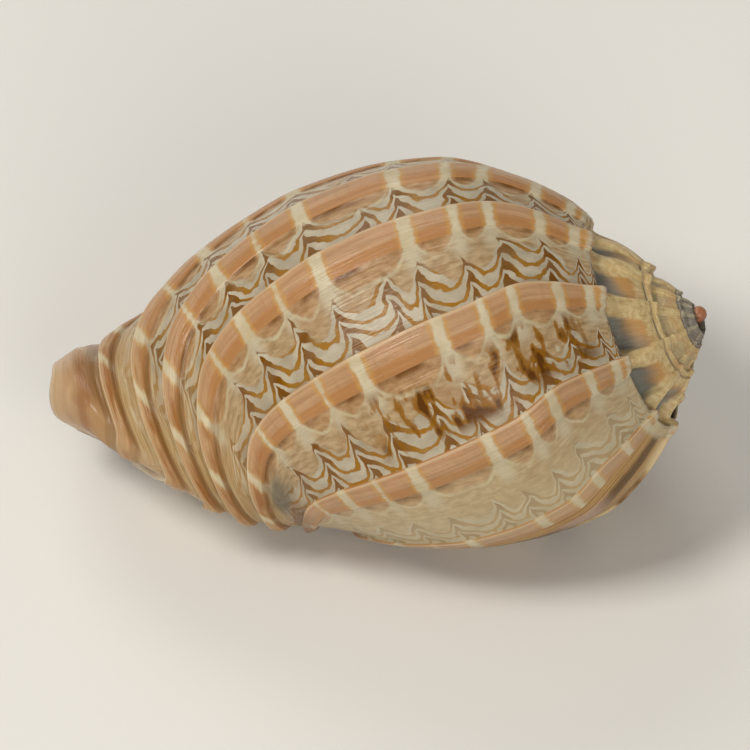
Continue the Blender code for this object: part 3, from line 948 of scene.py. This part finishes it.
def outer_finish():
    """Banded ribs, zigzags between them, and a grey spire, all on the growth lines."""
    material, tree, shader = new_material("shell_outer", OUTER_ROUGHNESS)
    length, along, angle = attribute(tree, "growth_mm")
    behind, on_rib, up = attribute(tree, "rib")
    peaks, inside, space = attribute(tree, "marks")
    row, ridge, _ = attribute(tree, "place")
    broad = noise(tree, length * 0.08, along * 0.1)
    fine = noise(tree, length * 0.9, along * 1.1, 3)
    patchy = noise(tree, length * 0.25, along * 0.35, 3, 5.0)
    fields = (length, along, angle, peaks, up, space)
    noises = (broad, fine, patchy)

    colour = between_ribs(tree, fields, noises, behind, inside)
    bands = rib_bands(tree, fields, noises, behind, inside)
    colour = mix(tree, on_rib.above(0.4, 0.6), colour, bands)

    # The oldest part that shows is paler.
    pale = (angle + broad * 16).below(*PALE_ANGLES) * (0.5 - on_rib * 0.3)
    colour = mix(tree, pale, colour, srgb(200, 186, 148))

    # Beside the glaze a glossy gold brown band, with a dark streak and a rough patch; its lighter
    # streaks along the growth lines are partly painted highlight.
    threads = noise(tree, length * 0.05, along * 3.0, 4, 40.0)
    last_turn = angle.above(*LAST_TURN_EDGE) * row.above(*SIDE_ROWS)
    gold = mix(tree, threads.above(-0.4, 0.4), srgb(144, 100, 38), srgb(192, 156, 98))
    dark = stripe(angle + patchy * 2, *DARK_STREAK_ANGLES, 2)
    gold = mix(tree, dark, gold, srgb(102, 68, 16))
    rough = stripe(angle + fine * 2, *ROUGH_PATCH_ANGLES, 2) * stripe(row, *ROUGH_PATCH_ROWS, 0.35)
    gold = mix(tree, rough * 0.8, gold, srgb(188, 160, 140))
    colour = mix(tree, angle.below(*GOLD_BAND_ANGLES) * last_turn, colour, gold)
    blotch = (broad + patchy * 0.15).above(-0.15, 0.3)
    tone = mix(tree, blotch, srgb(206, 182, 138), srgb(108, 64, 24))
    glaze = (angle + broad * 6).below(*GLAZE_COLOUR_ANGLES) * last_turn
    colour = mix(tree, glaze, colour, tone)

    # The neck, with a grey stain and a brown one beside it.
    colour = neck_finish(tree, colour, fields, noises, row, on_rib, behind, inside)
    stained, low = angle + fine * 3, row + patchy * 0.3
    grey = stripe(stained, *GREY_STAIN_ANGLES, 3) * stripe(low, *GREY_STAIN_ROWS, 0.3)
    brown = stripe(stained, *BROWN_STAIN_ANGLES, 3) * stripe(low, *BROWN_STAIN_ROWS, 0.3)
    colour = mix(tree, grey * 0.75, colour, srgb(96, 92, 78))
    colour = mix(tree, brown * 0.7, colour, srgb(112, 72, 28))
    colour = ramp_and_spire(tree, colour, fields, noises, row, ridge)
    tree.links.new(colour, shader.inputs["Base Color"])

    growth = noise(tree, length * 0.08, along * 3.0, 4)
    growth = growth + noise(tree, length * 0.5, along * 1.4, 3) * 0.6
    dull = angle.below(*DULL_ANGLES)
    roughness = OUTER_ROUGHNESS + patchy * 0.05 + growth * 0.03 + dull * 0.25
    set_input(tree, shader.inputs["Roughness"], roughness)
    pits = noise(tree, length * 2.0, along * 2.4, 3, 50.0)
    bump(tree, shader, growth + pits * (0.2 + dull * 2.0), OUTER_BUMP)
    shader.inputs["Specular IOR Level"].default_value = OUTER_SPECULAR
    return material


def clouded_finish(name, roughness, scale, detail, edges, first, second):
    """Material whose colour changes from one to another with noise of a scale per metre."""
    material, tree, shader = new_material(name, roughness)
    x, y, z = (distance * scale for distance in object_place(tree))
    cloud = noise(tree, x, y, detail, z)
    colour = mix(tree, cloud.above(*edges), first, second)
    tree.links.new(colour, shader.inputs["Base Color"])
    return material, tree, shader, cloud


def callus_finish():
    """Glaze around the mouth: cream with a chestnut blotch."""
    cream, chestnut = srgb(216, 196, 160), srgb(112, 62, 30)
    edges = (-0.1, 0.15)
    return clouded_finish("shell_callus", CALLUS_ROUGHNESS, 60, 2, edges, cream, chestnut)[0]


def inner_finish():
    """Smooth pale inside."""
    pale, tan = srgb(222, 206, 180), srgb(206, 178, 142)
    edges = (-0.6, 0.6)
    return clouded_finish("shell_inside", INSIDE_ROUGHNESS, 50, 2, edges, pale, tan)[0]


def knob_finish():
    """Worn brown of the first whorl."""
    dark, light = srgb(128, 70, 40), srgb(182, 122, 84)
    edges = (-0.5, 0.5)
    finish = clouded_finish("shell_apex", APEX_ROUGHNESS, 900, 3, edges, dark, light)
    material, tree, shader, cloud = finish
    set_input(tree, shader.inputs["Roughness"], APEX_ROUGHNESS + cloud * 0.08)
    bump(tree, shader, cloud, APEX_BUMP)
    return material


def floor_mesh():
    """Round pale floor that curves up into a wall far out."""
    mesh = bmesh.new()
    rings = []
    section = [(radius, 0.0) for radius in np.linspace(FLOOR_CENTRE, FLOOR_FLAT, 12)]
    for t in np.linspace(FLOOR_BEND_START, math.pi / 2, 20):
        section.append((FLOOR_FLAT + FLOOR_BEND * math.sin(t), FLOOR_BEND * (1 - math.cos(t))))
    for radius, height in section:
        ring = []
        for t in np.linspace(0, 2 * math.pi, FLOOR_SIDES, endpoint=False):
            ring.append(mesh.verts.new((radius * math.cos(t), radius * math.sin(t), height)))
        rings.append(ring)
    for ring, following in zip(rings[:-1], rings[1:]):
        for k in range(len(ring)):
            after = (k + 1) % len(ring)
            mesh.faces.new((ring[k], following[k], following[after], ring[after]))
    mesh.faces.new(rings[0])
    data = bpy.data.meshes.new("floor")
    mesh.to_mesh(data)
    mesh.free()
    data.shade_smooth()
    return data


def add_floor():
    """The floor, staged."""
    floor = bpy.data.objects.new("floor", floor_mesh())
    bpy.context.scene.collection.objects.link(floor)
    material, _, shader = new_material("floor_paper", FLOOR_ROUGHNESS)
    shader.inputs["Base Color"].default_value = srgb(226, 224, 220)
    floor.data.materials.append(material)


def add_area_light(name, place, size, watts):
    """Square soft light that faces the shell."""
    data = bpy.data.lights.new(name, "AREA")
    data.size = size
    data.color = WARM_WHITE
    data.energy = watts
    light = bpy.data.objects.new(name, data)
    light.location = place
    light.rotation_euler = (-Vector(place)).to_track_quat("-Z", "Y").to_euler()
    bpy.context.scene.collection.objects.link(light)


def add_light():
    """Key light from above left, a low fill, a weak back light and a pale surround."""
    for name, place, size, watts in LIGHTS:
        add_area_light(name, place, size, watts)
    world = bpy.data.worlds.new("studio")
    world.use_nodes = True
    background = world.node_tree.nodes["Background"]
    background.inputs["Color"].default_value = (1, 1, 1, 1)
    background.inputs["Strength"].default_value = SURROUND_STRENGTH
    bpy.context.scene.world = world


def add_camera(apex):
    """Camera at the photograph's angle, with the apex at its place in the picture."""
    data = bpy.data.cameras.new("camera")
    camera = bpy.data.objects.new("camera", data)
    bpy.context.scene.collection.objects.link(camera)
    data.type = "ORTHO"
    data.ortho_scale = IMAGE_SIZE * MM_PER_PIXEL * MM
    data.clip_start = CLIP_START
    data.clip_end = CLIP_END
    direction = CAMERA_DIRECTION.normalized()
    right = CAMERA_RIGHT.normalized()
    up = direction.cross(right)
    across = (IMAGE_SIZE / 2 - APEX_PIXEL[0]) * MM_PER_PIXEL * MM
    down = (APEX_PIXEL[1] - IMAGE_SIZE / 2) * MM_PER_PIXEL * MM
    centre = apex + right * across + up * down
    turn = Matrix((right, up, direction)).transposed().to_4x4()
    camera.matrix_world = Matrix.Translation(centre + direction * CAMERA_DISTANCE) @ turn
    bpy.context.scene.camera = camera


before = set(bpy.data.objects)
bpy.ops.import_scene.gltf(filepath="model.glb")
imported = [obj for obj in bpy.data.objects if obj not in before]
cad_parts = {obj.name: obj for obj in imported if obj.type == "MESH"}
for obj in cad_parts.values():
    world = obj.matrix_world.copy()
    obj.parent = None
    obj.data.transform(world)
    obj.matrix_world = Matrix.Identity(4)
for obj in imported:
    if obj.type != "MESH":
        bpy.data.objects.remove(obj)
cad_low, cad_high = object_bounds()

materials = [outer_finish(), callus_finish(), inner_finish(), knob_finish()]
outer = outer_body()
place = placement(outer, cad_low, cad_high)
shell = make_object("harp_shell", outer, materials)
hollow = make_object("hollow", hollow_body(), materials[2:])
pillar = make_object("pillar", pillar_body(), materials[1:2])
knob = make_object("knob", knob_body(), materials[3:])
for part in (shell, hollow, pillar, knob):
    part.data.transform(place)
combine(shell, hollow, "DIFFERENCE")
combine(shell, pillar, "UNION")
combine(shell, knob, "UNION")
apply_modifiers(shell, [hollow, pillar, knob])
add_growth_fields(shell.data)

# Nothing reaches below the floor.
for vertex in shell.data.vertices:
    vertex.co.z = max(vertex.co.z, 0)
shell.data.shade_smooth()
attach(shell, "root")
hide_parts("shell")

add_floor()
add_light()
add_camera(place @ Vector((0, 0, 0)))
bpy.context.scene.view_settings.view_transform = "Standard"
